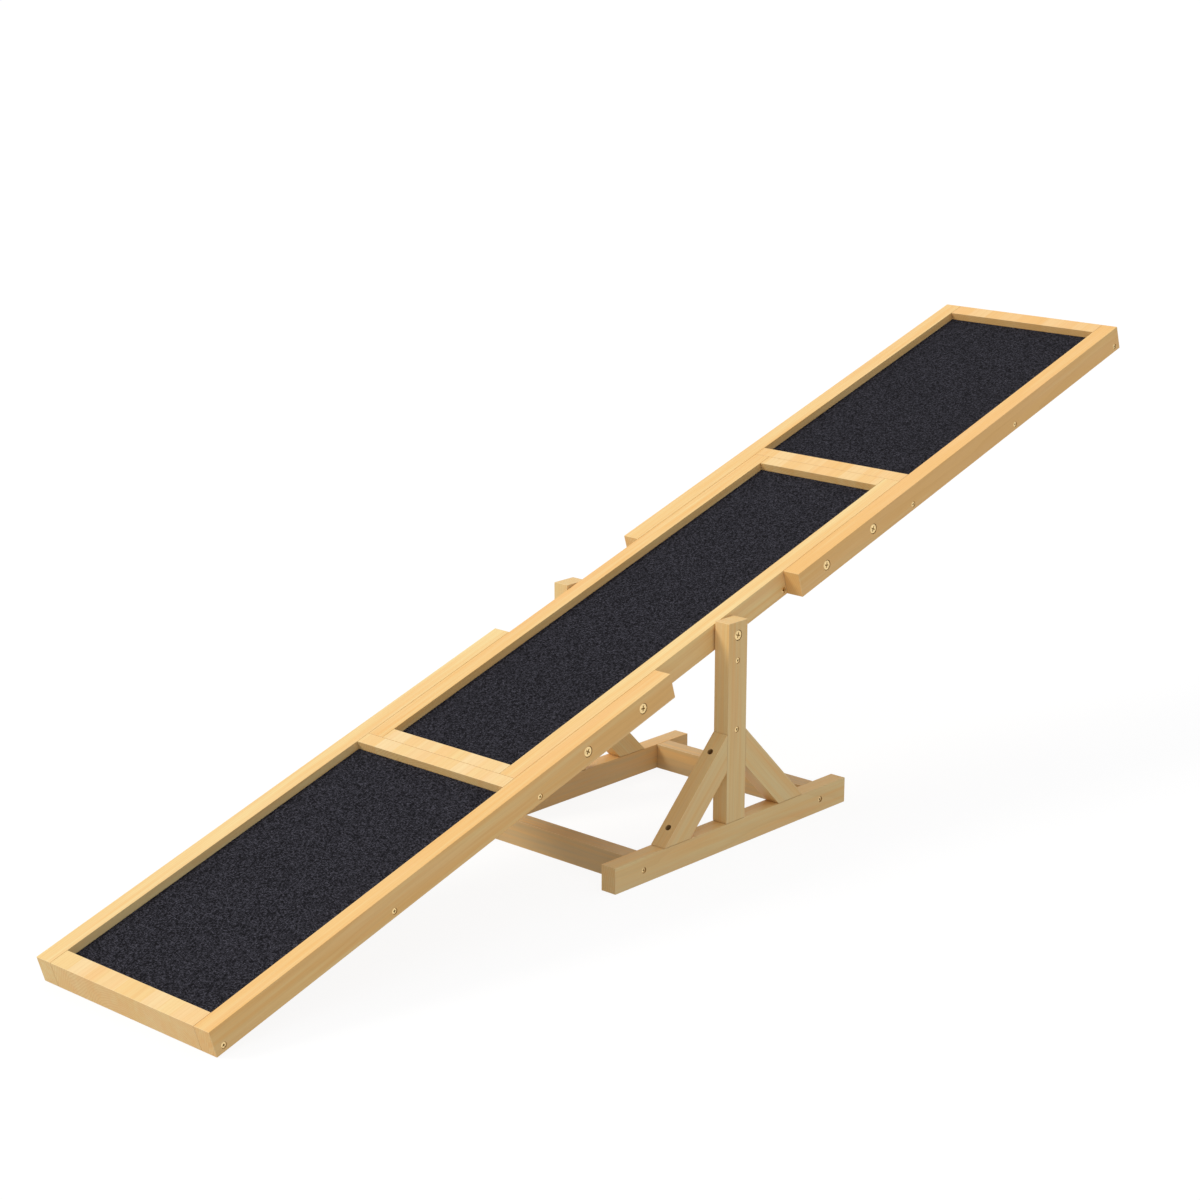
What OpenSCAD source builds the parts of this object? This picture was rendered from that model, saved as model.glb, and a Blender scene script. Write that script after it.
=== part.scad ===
// Dog agility seesaw: a framed wooden board in three sections that rocks between two braced posts.
// Millimetres. +X runs along the board towards the end that stands raised, +Y is to the left of
// that direction and +Z is up. The origin is on the floor, midway between the two posts.

/* [Board] */
// Length of the board from tip to tip
board_len = 1800; // [1600:10:2000]
// Width of the board over its outer side rails
board_w = 300; // [260:2:360]
// Height of every rail in the board
rail_h = 34; // [31:0.5:38]
// Width of the outer side rails
side_rail_w = 25.5; // [22:0.5:30]
// Width of the middle frame's side rails
middle_rail_w = 24.5; // [23:0.5:30]
// Width of the rail that closes each tip
tip_rail_w = 26; // [20:0.5:36]
// Width of each end frame's inner cross rail
inner_rail_w = 20.5; // [18:0.5:30]
// Width of the cross rail at each end of the middle frame
end_rail_w = 20.5; // [18:0.5:30]
// Length of the middle frame
middle_len = 779; // [700:1:900]
// Length of middle frame left bare between the end frames' side rails
bare_len = 260; // [220:2:300]

/* [Panels] */
// Depth of the grip mats below the rail tops
mat_recess = 10; // [7:0.5:12]
// Thickness of the grip mats
mat_t = 2; // [1:0.5:3]
// Thickness of the panels under the mats
panel_t = 6; // [5:0.5:9]
// Gap around each panel and mat
panel_gap = 0.5; // [0.2:0.1:0.8]
// Width of the slats that carry the panels
slat_w = 35; // [25:1:50]
// Distance from the middle frame to the slat of each end frame
end_slat_at = 236.5; // [200:0.5:280]
// Distance between the two slats of the middle frame
slat_spacing = 250; // [200:2:320]

/* [Base] */
// Length of the two runners
runner_len = 458; // [420:2:560]
// Height of the runners and of the cross members between them
runner_h = 34.5; // [32:0.5:42]
// Thickness of the runners, posts and braces, across the seesaw
base_t = 23.5; // [21:0.5:30]
// Width of the posts, along the seesaw
post_w = 36.5; // [34:0.5:48]
// Height of the posts above the runners
post_len = 264.5; // [240:0.5:300]
// Width of the brace timber
brace_w = 35.5; // [30:0.5:42]
// Reach of each 45 degree brace along the runner and up the post
brace_reach = 120; // [105:1:135]
// Width of the cross members
member_w = 25.5; // [22:0.5:34]
// Distance from a runner's end to the middle of the cross member
member_inset = 53; // [40:1:60]

/* [Pivot] */
// Distance from a post's top down to the pivot
pivot_below_post = 18; // [14:0.5:24]
// Distance from the board's top down to the pivot
pivot_below_top = 18; // [16:0.5:20]
// Diameter of the pivot bolts
pivot_bolt_d = 8; // [6:0.5:9]
// Outer diameter of the insert nuts that hold the pivot bolts
pivot_nut_d = 12; // [11:0.5:14]
// Outer diameter of the pivot washers
washer_d = 16; // [14:0.5:20]
// Thickness of the pivot washers
washer_t = 1.6; // [1:0.1:2.5]

/* [Bolts] */
// Diameter of the bolts that join the frames
frame_bolt_d = 6; // [5:0.5:7]
// Outer diameter of the frame bolts' insert nuts
frame_nut_d = 10; // [9:0.5:12]
// Length of every insert nut
insert_len = 18; // [16:0.5:19]
// Length of bolt that sits inside an insert nut
bolt_bite = 15; // [10:0.5:15.5]
// Diameter of the bolt heads
bolt_head_d = 13; // [12:0.5:15]
// Thickness of the bolt heads
bolt_head_h = 1.8; // [1.5:0.1:2.5]
// Distance from a side rail's inner end to its first frame bolt
first_bolt_at = 57; // [40:1:70]
// Distance between the two frame bolts of an overlap
bolt_spacing = 103; // [80:1:115]

/* [Screws] */
// Diameter of the wood screws
screw_d = 4; // [3:0.5:4.5]
// Diameter of the wood screw heads
screw_head_d = 7.6; // [7:0.1:9]
// Height of the countersunk part of a screw head
screw_head_h = 2; // [1.5:0.1:2.5]
// Depth that a screw bites into the piece it holds
screw_bite = 25; // [15:1:30]
// Depth that a brace screw bites into the post or runner
brace_bite = 17; // [12:0.5:18]
// Depth of the counterbores over the brace and foot screws
sink_depth = 8; // [5:0.5:10]
// Distance along a brace's upper face from either end to its screw
brace_screw_at = 28.5; // [25:0.5:32]
// Length of the short screws in the posts
post_screw_len = 20; // [14:0.5:20]
// Distance from the pivot down to the upper post screw
upper_post_screw = 33; // [28:1:45]
// Distance from the pivot down to the lower post screw
lower_post_screw = 124; // [100:1:130]
// Diameter of the dowels in the inner cross rails
dowel_d = 8; // [6:0.5:10]
// Depth of each dowel in a side rail and in the cross rail
dowel_bite = 16; // [12:0.5:18]

/* [Fits] */
// Radial clearance of a bolt, screw, insert nut or dowel in its hole
hole_clear = 0.15; // [0.1:0.05:0.3]
// Radial clearance of a bolt head in its seat
seat_clear = 0.5; // [0.3:0.1:0.8]
// Depth of every head below the face it sits in
head_sink = 0.2; // [0.1:0.1:0.5]
// Radial running clearance of the pivot bolts in the posts
pivot_clear = 0.08; // [0.02:0.01:0.1]
// Running gap beside the washers and under the pivot bolt heads
running_gap = 0.4; // [0.3:0.1:0.8]

/* [Hidden] */
$fn = 48;

low = -1;
high = 1;
left = 1;
right = -1;

wood = [0.93, 0.77, 0.52];
plywood = [0.82, 0.66, 0.44];
mat_grey = [0.18, 0.18, 0.2];
brassy = [0.83, 0.7, 0.4];
steel = [0.72, 0.72, 0.74];

past = 1;                       // how far a cut runs past the face it opens
slot_w = 1.1;                   // width of the cross recess in a head
slot_share = 0.55;              // length of the cross recess, as a share of its head
head_edge = 0.6;                // bevel round a bolt head
tip_taper = 5;                  // length of a wood screw's point

// Places along the board, from the pivot
tip_x = board_len / 2;
bare_x = bare_len / 2;
middle_x = middle_len / 2;
inner_rail_x = middle_x + inner_rail_w;
opening_x = middle_x - end_rail_w;
tip_rail_x = tip_x - tip_rail_w;
end_slat_x = middle_x + end_slat_at;
middle_slat_x = slat_spacing / 2;
frame_bolt_xs = [for (i = [0, 1]) bare_x + first_bolt_at + i * bolt_spacing];

// Places across the board
half_w = board_w / 2;
end_inner_y = half_w - side_rail_w;
middle_inner_y = end_inner_y - middle_rail_w;

// Levels in the board, from the pivot, square to the board
rail_top = pivot_below_top;
rail_bottom = rail_top - rail_h;
rail_middle = rail_top - rail_h / 2;
mat_top = rail_top - mat_recess;
panel_top = mat_top - mat_t;
panel_bottom = panel_top - panel_t;
slat_h = panel_bottom - rail_bottom;
slat_middle = rail_bottom + slat_h / 2;

// Base, from the origin. The posts stand one washer and one running gap outside the middle frame.
post_inner_y = end_inner_y + washer_t + running_gap;
post_outer_y = post_inner_y + base_t;
post_middle_y = post_inner_y + base_t / 2;
post_x = post_w / 2;
post_top = runner_h + post_len;
runner_x = runner_len / 2;
member_x = runner_x - member_inset;
pivot_z = post_top - pivot_below_post;

// The board leans until the lower edge of its low tip meets the floor
below_pivot = -rail_bottom;
tilt = asin(pivot_z / norm([tip_x, below_pivot])) - atan2(below_pivot, tip_x);

// Hardware
seat_depth = bolt_head_h + head_sink;
pivot_seat_depth = seat_depth + running_gap;
sink_d = screw_head_d + 2 * seat_clear;
insert_bore_len = insert_len + past;
frame_bolt_len = side_rail_w + bolt_bite;
pivot_bolt_len = base_t + washer_t + running_gap + bolt_bite;
end_screw_len = side_rail_w + screw_bite;
joint_screw_len = side_rail_w + middle_rail_w + screw_bite;
middle_screw_len = middle_rail_w + screw_bite;
member_screw_len = base_t + screw_bite;
foot_screw_len = runner_h - sink_depth + screw_bite;
brace_screw_len = brace_screw_at - sink_depth + brace_bite;

// Mirrors a shape drawn at the high left corner to the given end and side
module to_corner(end, side) {
    mirror([end < 0 ? 1 : 0, 0, 0]) mirror([0, side < 0 ? 1 : 0, 0]) children();
}

module each_side() {
    for (side = [left, right]) to_corner(high, side) children();
}

module each_end() {
    for (end = [low, high]) to_corner(end, left) children();
}

module each_corner() {
    each_end() each_side() children();
}

// Carries a shape drawn on a level board at the pivot to the leaning board
module on_board() {
    translate([0, 0, pivot_z]) rotate([0, -tilt, 0]) children();
}

// Turns a fastener drawn along Z, head up, to stand in a left face
module from_left(x, y, z) {
    translate([x, y, z]) rotate([-90, 0, 0]) children();
}

// Box between two levels, given by its near and far places
module block(x, y, z) {
    translate([x[0], y[0], z[0]]) cube([x[1] - x[0], y[1] - y[0], z[1] - z[0]]);
}

module cross_recess(head_d, depth, level) {
    reach = head_d * slot_share;
    for (turn = [0, 90])
        rotate([0, 0, turn])
            translate([-reach / 2, -slot_w / 2, level - depth]) cube([reach, slot_w, depth + past]);
}

// Bolt with a flat head. Its length runs from the face of the timber to its end.
module bolt(shank_d, len) {
    head_r = bolt_head_d / 2;
    top = -head_sink;
    under = top - bolt_head_h;
    difference() {
        rotate_extrude() polygon([
            [0, top], [head_r - head_edge, top], [head_r, top - head_edge], [head_r, under],
            [shank_d / 2, under], [shank_d / 2, -len], [0, -len]
        ]);
        cross_recess(bolt_head_d, bolt_head_h * 0.7, top);
    }
}

module bolt_bore(shank_d, len, clear, depth) {
    translate([0, 0, -len - past]) cylinder(d = shank_d + 2 * clear, h = len + 2 * past);
    translate([0, 0, -depth]) cylinder(d = bolt_head_d + 2 * seat_clear, h = depth + past);
}

module insert_nut(outer_d, bolt_d) {
    rotate_extrude()
        translate([bolt_d / 2 + hole_clear, -insert_len])
            square([(outer_d - bolt_d) / 2 - hole_clear, insert_len]);
}

module insert_bore(outer_d) {
    translate([0, 0, -insert_bore_len])
        cylinder(d = outer_d + 2 * hole_clear, h = insert_bore_len + past);
}

// Countersunk wood screw. Its length runs from the face of the timber to its point.
module screw(len) {
    head_r = screw_head_d / 2;
    neck = -head_sink - screw_head_h;
    difference() {
        rotate_extrude() polygon([
            [0, -head_sink], [head_r, -head_sink], [screw_d / 2, neck],
            [screw_d / 2, tip_taper - len], [0, -len]
        ]);
        cross_recess(screw_head_d, screw_head_h * 0.7, -head_sink);
    }
}

module screw_bore(len) {
    mouth_r = screw_head_d / 2 + hole_clear;
    shank_r = screw_d / 2 + hole_clear;
    rotate_extrude() polygon([
        [0, past], [mouth_r, past], [mouth_r, -head_sink], [shank_r, -head_sink - screw_head_h],
        [shank_r, -len - past], [0, -len - past]
    ]);
}

// Screw and bore whose head lies at the bottom of a counterbore
module sunk_screw(len) {
    translate([0, 0, -sink_depth]) screw(len);
}

module sunk_bore(len) {
    translate([0, 0, -sink_depth]) {
        screw_bore(len);
        cylinder(d = sink_d, h = sink_depth + past);
    }
}

// Places of the fasteners, at the high left corner
module at_frame_bolts() {
    for (x = frame_bolt_xs) from_left(x, half_w, rail_middle) children();
}

module at_tip_screw() {
    from_left(tip_x - tip_rail_w / 2, half_w, slat_middle) children();
}

module at_end_slat_screw() {
    from_left(end_slat_x, half_w, slat_middle) children();
}

module at_joint_screw() {
    from_left(middle_x - end_rail_w / 2, half_w, slat_middle) children();
}

module at_middle_slat_screw() {
    from_left(middle_slat_x, end_inner_y, slat_middle) children();
}

module at_dowel() {
    from_left(middle_x + inner_rail_w / 2, end_inner_y, rail_middle) children();
}

module at_pivot() {
    from_left(0, post_outer_y, 0) children();
}

module at_member_screw() {
    from_left(member_x, post_outer_y, runner_h / 2) children();
}

module at_foot_screw() {
    translate([post_w / 4, post_middle_y, 0]) rotate([180, 0, 0]) children();
}

module at_brace_screw(distance_out, distance_up) {
    translate([post_x + distance_out, post_middle_y, runner_h + distance_up])
        rotate([0, 45, 0]) children();
}

module at_brace_top_screw() {
    step = brace_screw_at / sqrt(2);
    at_brace_screw(step, brace_reach - step) children();
}

module at_brace_toe_screw() {
    step = brace_screw_at / sqrt(2);
    at_brace_screw(brace_reach - step, step) children();
}

module at_post_screws() {
    for (drop = [upper_post_screw, lower_post_screw])
        from_left(0, post_outer_y, pivot_z - drop) children();
}

module dowel_bore() {
    translate([0, 0, -dowel_bite - past])
        cylinder(d = dowel_d + 2 * hole_clear, h = 2 * (dowel_bite + past));
}

// Board: end frames
module side_rail(end, side) {
    color(wood) on_board() to_corner(end, side) difference() {
        block([bare_x, tip_x], [end_inner_y, half_w], [rail_bottom, rail_top]);
        at_frame_bolts() bolt_bore(frame_bolt_d, side_rail_w, hole_clear, seat_depth);
        at_tip_screw() screw_bore(end_screw_len);
        at_end_slat_screw() screw_bore(end_screw_len);
        at_joint_screw() screw_bore(joint_screw_len);
        at_dowel() dowel_bore();
    }
}

module tip_rail(end) {
    color(wood) on_board() to_corner(end, left) difference() {
        block([tip_rail_x, tip_x], [-end_inner_y, end_inner_y], [rail_bottom, rail_top]);
        each_side() at_tip_screw() screw_bore(end_screw_len);
    }
}

module inner_rail(end) {
    color(wood) on_board() to_corner(end, left) difference() {
        block([middle_x, inner_rail_x], [-end_inner_y, end_inner_y], [rail_bottom, rail_top]);
        each_side() at_dowel() dowel_bore();
    }
}

module end_slat(end) {
    color(wood) on_board() to_corner(end, left) difference() {
        block([end_slat_x - slat_w / 2, end_slat_x + slat_w / 2], [-end_inner_y, end_inner_y],
              [rail_bottom, panel_bottom]);
        each_side() at_end_slat_screw() screw_bore(end_screw_len);
    }
}

// Layer that fills an end frame's opening between two levels
module end_layer(end, levels) {
    on_board() to_corner(end, left)
        block([inner_rail_x + panel_gap, tip_rail_x - panel_gap],
              [panel_gap - end_inner_y, end_inner_y - panel_gap], levels);
}

module end_panel(end) {
    color(plywood) end_layer(end, [panel_bottom, panel_top]);
}

module end_mat(end) {
    color(mat_grey) end_layer(end, [panel_top, mat_top]);
}

// Board: middle frame
module middle_side_rail(side) {
    color(wood) on_board() to_corner(high, side) difference() {
        block([-middle_x, middle_x], [middle_inner_y, end_inner_y], [rail_bottom, rail_top]);
        each_end() {
            at_frame_bolts() translate([0, 0, -side_rail_w]) insert_bore(frame_nut_d);
            at_joint_screw() screw_bore(joint_screw_len);
            at_middle_slat_screw() screw_bore(middle_screw_len);
        }
        from_left(0, end_inner_y, 0) insert_bore(pivot_nut_d);
    }
}

module middle_end_rail(end) {
    color(wood) on_board() to_corner(end, left) difference() {
        block([opening_x, middle_x], [-middle_inner_y, middle_inner_y], [rail_bottom, rail_top]);
        each_side() at_joint_screw() screw_bore(joint_screw_len);
    }
}

module middle_slat(end) {
    color(wood) on_board() to_corner(end, left) difference() {
        block([middle_slat_x - slat_w / 2, middle_slat_x + slat_w / 2],
              [-middle_inner_y, middle_inner_y], [rail_bottom, panel_bottom]);
        each_side() at_middle_slat_screw() screw_bore(middle_screw_len);
    }
}

module middle_layer(levels) {
    on_board()
        block([panel_gap - opening_x, opening_x - panel_gap],
              [panel_gap - middle_inner_y, middle_inner_y - panel_gap], levels);
}

module middle_panel() {
    color(plywood) middle_layer([panel_bottom, panel_top]);
}

module middle_mat() {
    color(mat_grey) middle_layer([panel_top, mat_top]);
}

// Board: hardware
module frame_bolts() {
    color(brassy) on_board() each_corner() at_frame_bolts() bolt(frame_bolt_d, frame_bolt_len);
}

module frame_insert_nuts() {
    color(steel) on_board() each_corner() at_frame_bolts()
        translate([0, 0, -side_rail_w]) insert_nut(frame_nut_d, frame_bolt_d);
}

module tip_screws() {
    color(brassy) on_board() each_corner() at_tip_screw() screw(end_screw_len);
}

module end_slat_screws() {
    color(brassy) on_board() each_corner() at_end_slat_screw() screw(end_screw_len);
}

module joint_screws() {
    color(brassy) on_board() each_corner() at_joint_screw() screw(joint_screw_len);
}

module middle_slat_screws() {
    color(brassy) on_board() each_corner() at_middle_slat_screw() screw(middle_screw_len);
}

module inner_rail_dowels() {
    color(wood) on_board() each_corner() at_dowel()
        translate([0, 0, -dowel_bite]) cylinder(d = dowel_d, h = 2 * dowel_bite);
}

module pivot_bolts() {
    color(brassy) on_board() each_side() at_pivot() bolt(pivot_bolt_d, pivot_bolt_len);
}

module pivot_insert_nuts() {
    color(steel) on_board() each_side() from_left(0, end_inner_y, 0)
        insert_nut(pivot_nut_d, pivot_bolt_d);
}

// Base: timbers
module runner(side) {
    color(wood) to_corner(high, side) difference() {
        block([-runner_x, runner_x], [post_inner_y, post_outer_y], [0, runner_h]);
        each_end() {
            at_member_screw() screw_bore(member_screw_len);
            at_foot_screw() sunk_bore(foot_screw_len);
            at_brace_toe_screw() sunk_bore(brace_screw_len);
        }
    }
}

module cross_member(end) {
    color(wood) to_corner(end, left) difference() {
        block([member_x - member_w / 2, member_x + member_w / 2], [-post_inner_y, post_inner_y],
              [0, runner_h]);
        each_side() at_member_screw() screw_bore(member_screw_len);
    }
}

module post(side) {
    color(wood) to_corner(high, side) difference() {
        block([-post_x, post_x], [post_inner_y, post_outer_y], [runner_h, post_top]);
        translate([0, 0, pivot_z]) at_pivot()
            bolt_bore(pivot_bolt_d, base_t, pivot_clear, pivot_seat_depth);
        at_post_screws() screw_bore(post_screw_len);
        each_end() {
            at_foot_screw() sunk_bore(foot_screw_len);
            at_brace_top_screw() sunk_bore(brace_screw_len);
        }
    }
}

module brace(end, side) {
    cut = brace_w * sqrt(2);
    outline = [
        [post_x, runner_h + brace_reach], [post_x, runner_h + brace_reach - cut],
        [post_x + brace_reach - cut, runner_h], [post_x + brace_reach, runner_h]
    ];
    color(wood) to_corner(end, side) difference() {
        translate([0, post_outer_y, 0]) rotate([90, 0, 0]) linear_extrude(base_t) polygon(outline);
        at_brace_top_screw() sunk_bore(brace_screw_len);
        at_brace_toe_screw() sunk_bore(brace_screw_len);
    }
}

// Base: hardware
module pivot_washers() {
    color(steel) each_side() from_left(0, post_inner_y, pivot_z) rotate_extrude()
        translate([pivot_bolt_d / 2 + running_gap, -washer_t])
            square([(washer_d - pivot_bolt_d) / 2 - running_gap, washer_t]);
}

module post_screws() {
    color(brassy) each_side() at_post_screws() screw(post_screw_len);
}

module post_foot_screws() {
    color(brassy) each_corner() at_foot_screw() sunk_screw(foot_screw_len);
}

module brace_screws() {
    color(brassy) each_corner() {
        at_brace_top_screw() sunk_screw(brace_screw_len);
        at_brace_toe_screw() sunk_screw(brace_screw_len);
    }
}

module cross_member_screws() {
    color(brassy) each_corner() at_member_screw() screw(member_screw_len);
}

side_rail(low, left);  // low_left_side_rail
side_rail(low, right);  // low_right_side_rail
tip_rail(low);  // low_tip_rail
inner_rail(low);  // low_inner_rail
end_slat(low);  // low_slat
end_panel(low);  // low_panel
end_mat(low);  // low_grip_mat
side_rail(high, left);  // high_left_side_rail
side_rail(high, right);  // high_right_side_rail
tip_rail(high);  // high_tip_rail
inner_rail(high);  // high_inner_rail
end_slat(high);  // high_slat
end_panel(high);  // high_panel
end_mat(high);  // high_grip_mat
middle_side_rail(left);  // middle_left_side_rail
middle_side_rail(right);  // middle_right_side_rail
middle_end_rail(low);  // middle_low_end_rail
middle_end_rail(high);  // middle_high_end_rail
middle_slat(low);  // middle_low_slat
middle_slat(high);  // middle_high_slat
middle_panel();
middle_mat();  // middle_grip_mat
frame_bolts();
frame_insert_nuts();
tip_screws();
end_slat_screws();
joint_screws();
middle_slat_screws();
inner_rail_dowels();
pivot_bolts();
pivot_insert_nuts();
runner(left);  // left_runner
runner(right);  // right_runner
cross_member(low);  // low_cross_member
cross_member(high);  // high_cross_member
post(left);  // left_post
post(right);  // right_post
brace(low, left);  // left_low_brace
brace(high, left);  // left_high_brace
brace(low, right);  // right_low_brace
brace(high, right);  // right_high_brace
pivot_washers();
post_screws();
post_foot_screws();
brace_screws();
cross_member_screws();
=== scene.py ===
"""Dog agility seesaw: a leaning board of three framed sections on a braced wooden base.

Sizes are in millimetres, and Blender's lengths in metres. Every piece is drawn at the high left
corner and mirrored to its other corners. The board is drawn level, with its pivot at the origin,
and is then leaned until its low end stands on the floor.
"""

import logging
import math
import random
from contextlib import contextmanager
from dataclasses import dataclass
from enum import Enum
from typing import Callable, Iterable, Iterator, Mapping, Sequence, Union

import bpy
from mathutils import Matrix, Vector


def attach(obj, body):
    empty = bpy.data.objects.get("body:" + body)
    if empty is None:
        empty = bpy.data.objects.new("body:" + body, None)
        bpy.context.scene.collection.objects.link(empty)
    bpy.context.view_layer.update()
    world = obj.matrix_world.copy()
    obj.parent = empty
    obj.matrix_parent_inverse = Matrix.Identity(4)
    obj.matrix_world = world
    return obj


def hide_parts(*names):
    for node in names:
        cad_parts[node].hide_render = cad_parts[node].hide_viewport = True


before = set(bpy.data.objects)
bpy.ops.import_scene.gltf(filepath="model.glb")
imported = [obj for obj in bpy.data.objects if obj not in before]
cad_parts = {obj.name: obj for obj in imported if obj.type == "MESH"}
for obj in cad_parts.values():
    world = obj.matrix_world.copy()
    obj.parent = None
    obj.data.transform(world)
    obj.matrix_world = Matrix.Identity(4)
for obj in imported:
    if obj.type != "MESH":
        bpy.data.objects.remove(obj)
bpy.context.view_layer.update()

log = logging.getLogger("seesaw")

MM = 0.001
SLANT = math.sqrt(0.5)
SQUARE_ON = 0.9  # how much of a face's normal lies along the way that the face looks

Point = tuple[float, float, float]
Span = tuple[float, float]
Outline = Sequence[Span]
Piece = bpy.types.Object
Face = bpy.types.MeshPolygon
Material = bpy.types.Material


class Body(Enum):
    """The two bodies of the seesaw, by their names in the frame."""

    BASE = "base"
    BOARD = "board"


class Fibre(Enum):
    """Which way a timber's fibres run: its own three axes, with the fibre first."""

    ALONG = ((1, 0, 0), (0, 1, 0), (0, 0, 1))
    ACROSS = ((0, 1, 0), (0, 0, 1), (1, 0, 0))
    UPRIGHT = ((0, 0, 1), (1, 0, 0), (0, 1, 0))
    SLANTED = ((SLANT, 0, -SLANT), (SLANT, 0, SLANT), (0, 1, 0))


class Head(Enum):
    """The two kinds of fastener head."""

    FLAT = "flat"
    COUNTERSUNK = "countersunk"


class Plating(Enum):
    """The two platings of the hardware, by their material slots."""

    BRASSED = "brassed_steel"
    ZINC = "zinc_steel"


# ---- workbench


class Bench:
    """Blender's modelling tools, each used on one piece at a time."""

    @staticmethod
    def pick(*pieces: Piece) -> None:
        """Selects only these pieces, with the first one active.

        Args:
            pieces: The pieces.
        """
        bpy.ops.object.select_all(action="DESELECT")
        for piece in pieces:
            piece.select_set(True)
        bpy.context.view_layer.objects.active = pieces[0]

    @staticmethod
    def take(name: str) -> Piece:
        """Names the piece that was just added, and writes its place into its mesh.

        Args:
            name: Its name.

        Returns:
            The piece.
        """
        piece = bpy.context.active_object
        piece.name = piece.data.name = name
        bpy.ops.object.transform_apply(location=True, rotation=True, scale=True)
        return piece

    @staticmethod
    def block(name: str, spans: Sequence[Span]) -> Piece:
        """Adds a square block.

        Args:
            name: Name of the new piece.
            spans: Where it starts and ends along each axis.

        Returns:
            The block.
        """
        bpy.ops.object.select_all(action="DESELECT")
        centre = [(low + high) / 2 * MM for low, high in spans]
        bpy.ops.mesh.primitive_cube_add(size=1, location=centre)
        bpy.context.active_object.scale = [(high - low) * MM for low, high in spans]
        return Bench.take(name)

    @staticmethod
    def turn(name: str, outline: Outline, sides: int = 40) -> Piece:
        """Turns a closed round piece about the Z axis, as on a lathe.

        Args:
            name: Name of the new piece.
            outline: Radius and height of each step, from one end to the other.
            sides: Number of faces round it.

        Returns:
            The piece.
        """
        radius, height = outline[0]
        bpy.ops.object.select_all(action="DESELECT")
        bpy.ops.mesh.primitive_circle_add(
            vertices=sides, radius=radius * MM, fill_type="NGON", location=(0, 0, height * MM)
        )
        piece = Bench.take(name)
        with Bench.editing(piece):
            for wider, higher in outline[1:]:
                rise, grow = (higher - height) * MM, wider / radius
                bpy.ops.mesh.extrude_region_move(TRANSFORM_OT_translate={"value": (0, 0, rise)})
                bpy.ops.transform.resize(
                    value=(grow, grow, 1), center_override=(0, 0, higher * MM)
                )
                radius, height = wider, higher
        Bench.face_outwards(piece)
        return piece

    @staticmethod
    @contextmanager
    def editing(piece: Piece, chosen: Iterable[int] | None = None) -> Iterator[None]:
        """Opens a piece for editing, and closes it afterwards.

        Args:
            piece: The piece.
            chosen: Numbers of the faces that are selected, or None for all of it.

        Yields:
            Nothing, while the piece is open.
        """
        Bench.pick(piece)
        if chosen is not None:
            mesh, chosen = piece.data, set(chosen)
            bpy.context.tool_settings.mesh_select_mode = (False, False, True)
            mesh.vertices.foreach_set("select", [False] * len(mesh.vertices))
            mesh.edges.foreach_set("select", [False] * len(mesh.edges))
            mesh.polygons.foreach_set("select", [face.index in chosen for face in mesh.polygons])
        bpy.ops.object.mode_set(mode="EDIT")
        if chosen is None:
            bpy.ops.mesh.select_all(action="SELECT")
        yield
        bpy.ops.object.mode_set(mode="OBJECT")

    @staticmethod
    def looking(piece: Piece, way: int) -> list[int]:
        """Numbers of the faces that look up, where way is 1, or down, where it is -1."""
        return [face.index for face in piece.data.polygons if face.normal.z * way > SQUARE_ON]

    @staticmethod
    def face_outwards(piece: Piece) -> None:
        """Turns every face of a closed piece outwards."""
        with Bench.editing(piece):
            bpy.ops.mesh.normals_make_consistent(inside=False)

    @staticmethod
    def ease(
        piece: Piece, width: float, steps: int = 2, chosen: Iterable[int] | None = None
    ) -> None:
        """Rounds the edges of a piece.

        Args:
            piece: The piece.
            width: Width of the rounding.
            steps: Number of steps in it.
            chosen: Numbers of the faces whose edges are rounded, or None for every edge.
        """
        with Bench.editing(piece, chosen):
            bpy.ops.mesh.bevel(offset=width * MM, segments=steps, affect="EDGES")

    @staticmethod
    def bisect(piece: Piece, at: Point, normal: Point) -> None:
        """Saws a piece through and closes the cut.

        Args:
            piece: The piece.
            at: A point in the saw cut.
            normal: Points to the side that stays.
        """
        with Bench.editing(piece):
            bpy.ops.mesh.bisect(
                plane_co=[a * MM for a in at], plane_no=normal, use_fill=True, clear_inner=True
            )

    @staticmethod
    def modify(piece: Piece, kind: str, **settings: object) -> None:
        """Adds a modifier to a piece and applies it.

        Args:
            piece: The piece.
            kind: The modifier's type.
            settings: Its properties.
        """
        Bench.pick(piece)
        bpy.ops.object.modifier_add(type=kind)
        modifier = piece.modifiers[-1]
        for name, value in settings.items():
            setattr(modifier, name, value)
        bpy.ops.object.modifier_apply(modifier=modifier.name)

    @staticmethod
    def cut(piece: Piece, cutter: Piece) -> None:
        """Cuts one piece's shape out of another and clears the cutter away."""
        Bench.modify(piece, "BOOLEAN", operation="DIFFERENCE", solver="EXACT", object=cutter)
        bpy.data.objects.remove(cutter)

    @staticmethod
    def place(piece: Piece, matrix: Matrix) -> None:
        """Moves a piece and writes the move into its mesh.

        Args:
            piece: The piece.
            matrix: The move.
        """
        piece.matrix_world = matrix
        Bench.pick(piece)
        bpy.ops.object.transform_apply(location=True, rotation=True, scale=True)

    @staticmethod
    def mirror(piece: Piece, end: int, side: int) -> None:
        """Mirrors a piece to another corner.

        Args:
            piece: The piece, at the high left corner.
            end: 1 for the high end, -1 for the low one.
            side: 1 for the left side, -1 for the right one.
        """
        if (end, side) != (1, 1):
            Bench.place(piece, Matrix.Diagonal((end, side, 1, 1)))
            Bench.face_outwards(piece)

    @staticmethod
    def copy(model: Piece, name: str) -> Piece:
        """Copies a piece with a mesh of its own.

        Args:
            model: The piece.
            name: Name of the copy.

        Returns:
            The copy.
        """
        Bench.pick(model)
        bpy.ops.object.duplicate(linked=False)
        piece = bpy.context.active_object
        piece.name = piece.data.name = name
        return piece

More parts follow.
